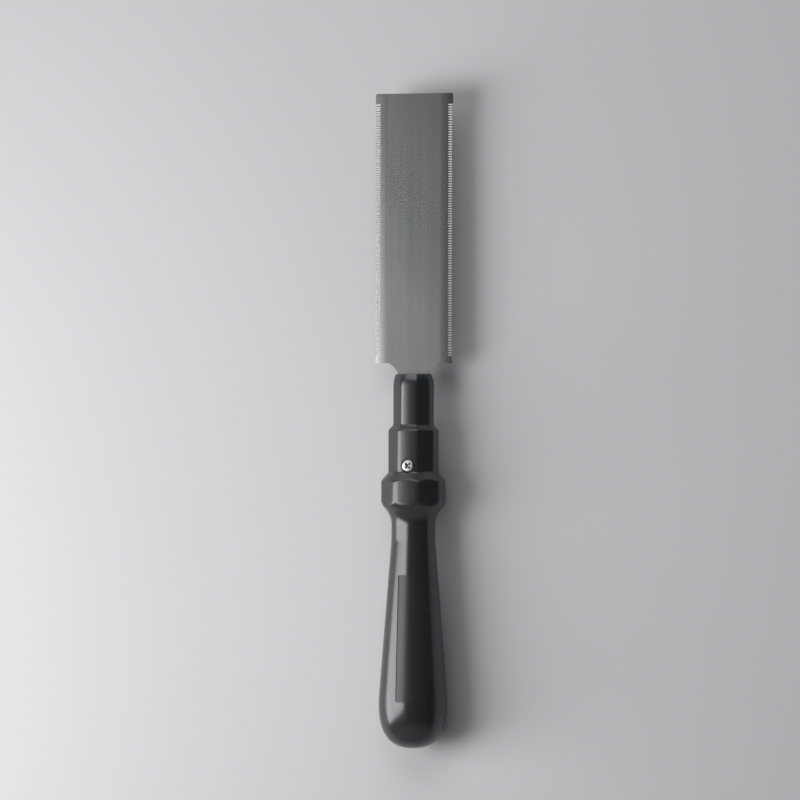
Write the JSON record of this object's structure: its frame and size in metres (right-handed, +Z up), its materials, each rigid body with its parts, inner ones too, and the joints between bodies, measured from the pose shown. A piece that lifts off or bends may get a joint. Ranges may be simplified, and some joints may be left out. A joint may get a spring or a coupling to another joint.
{
  "type": "flush cut saw",
  "caption": "Flush cut saw: thin flexible blade with fine pull teeth on both long edges, its tang clamped by a screw between the halves of a straight moulded handle with a faceted guard.",
  "frame": {"origin": "on the surface that the saw lies on, under the middle of its length and of the blade's width", "axes": "+Y along the handle towards the tip of the blade; +Z up, the side with the screw's head; +X across the blade"},
  "size_m": [0.0314, 0.2576, 0.027],
  "materials": {
    "blade_steel": "satin grey spring steel, finely brushed",
    "handle_plastic": "satin black, smooth moulding",
    "fastener_steel": "bright plated steel"
  },
  "bodies": {
    "handle": {"front_shell": "handle_plastic", "back_shell": "handle_plastic"},
    "blade": {"blade": "blade_steel"},
    "clamp_screw": {"clamp_screw": "fastener_steel"},
    "clamp_nut": {"clamp_nut": "fastener_steel"}
  },
  "joints": [
    {"name": "blade_slide", "type": "slide", "parent": "handle", "child": "blade", "axis": [0, 1, 0], "range_m": [0, 0.044]},
    {"name": "clamp_screw_turn", "type": "hinge", "parent": "handle", "child": "clamp_screw", "pos_m": [0, -0.01765, 0.01352], "axis": [0, 0, 1], "range_deg": [0, 2241]},
    {"name": "clamp_nut_travel", "type": "slide", "parent": "handle", "child": "clamp_nut", "axis": [0, 0, -1], "range_m": [0, 0.0028]}
  ],
  "couplings": [
    {"joint": "clamp_screw_turn", "follows": "clamp_nut_travel", "rad_per_m": 13963}
  ]
}
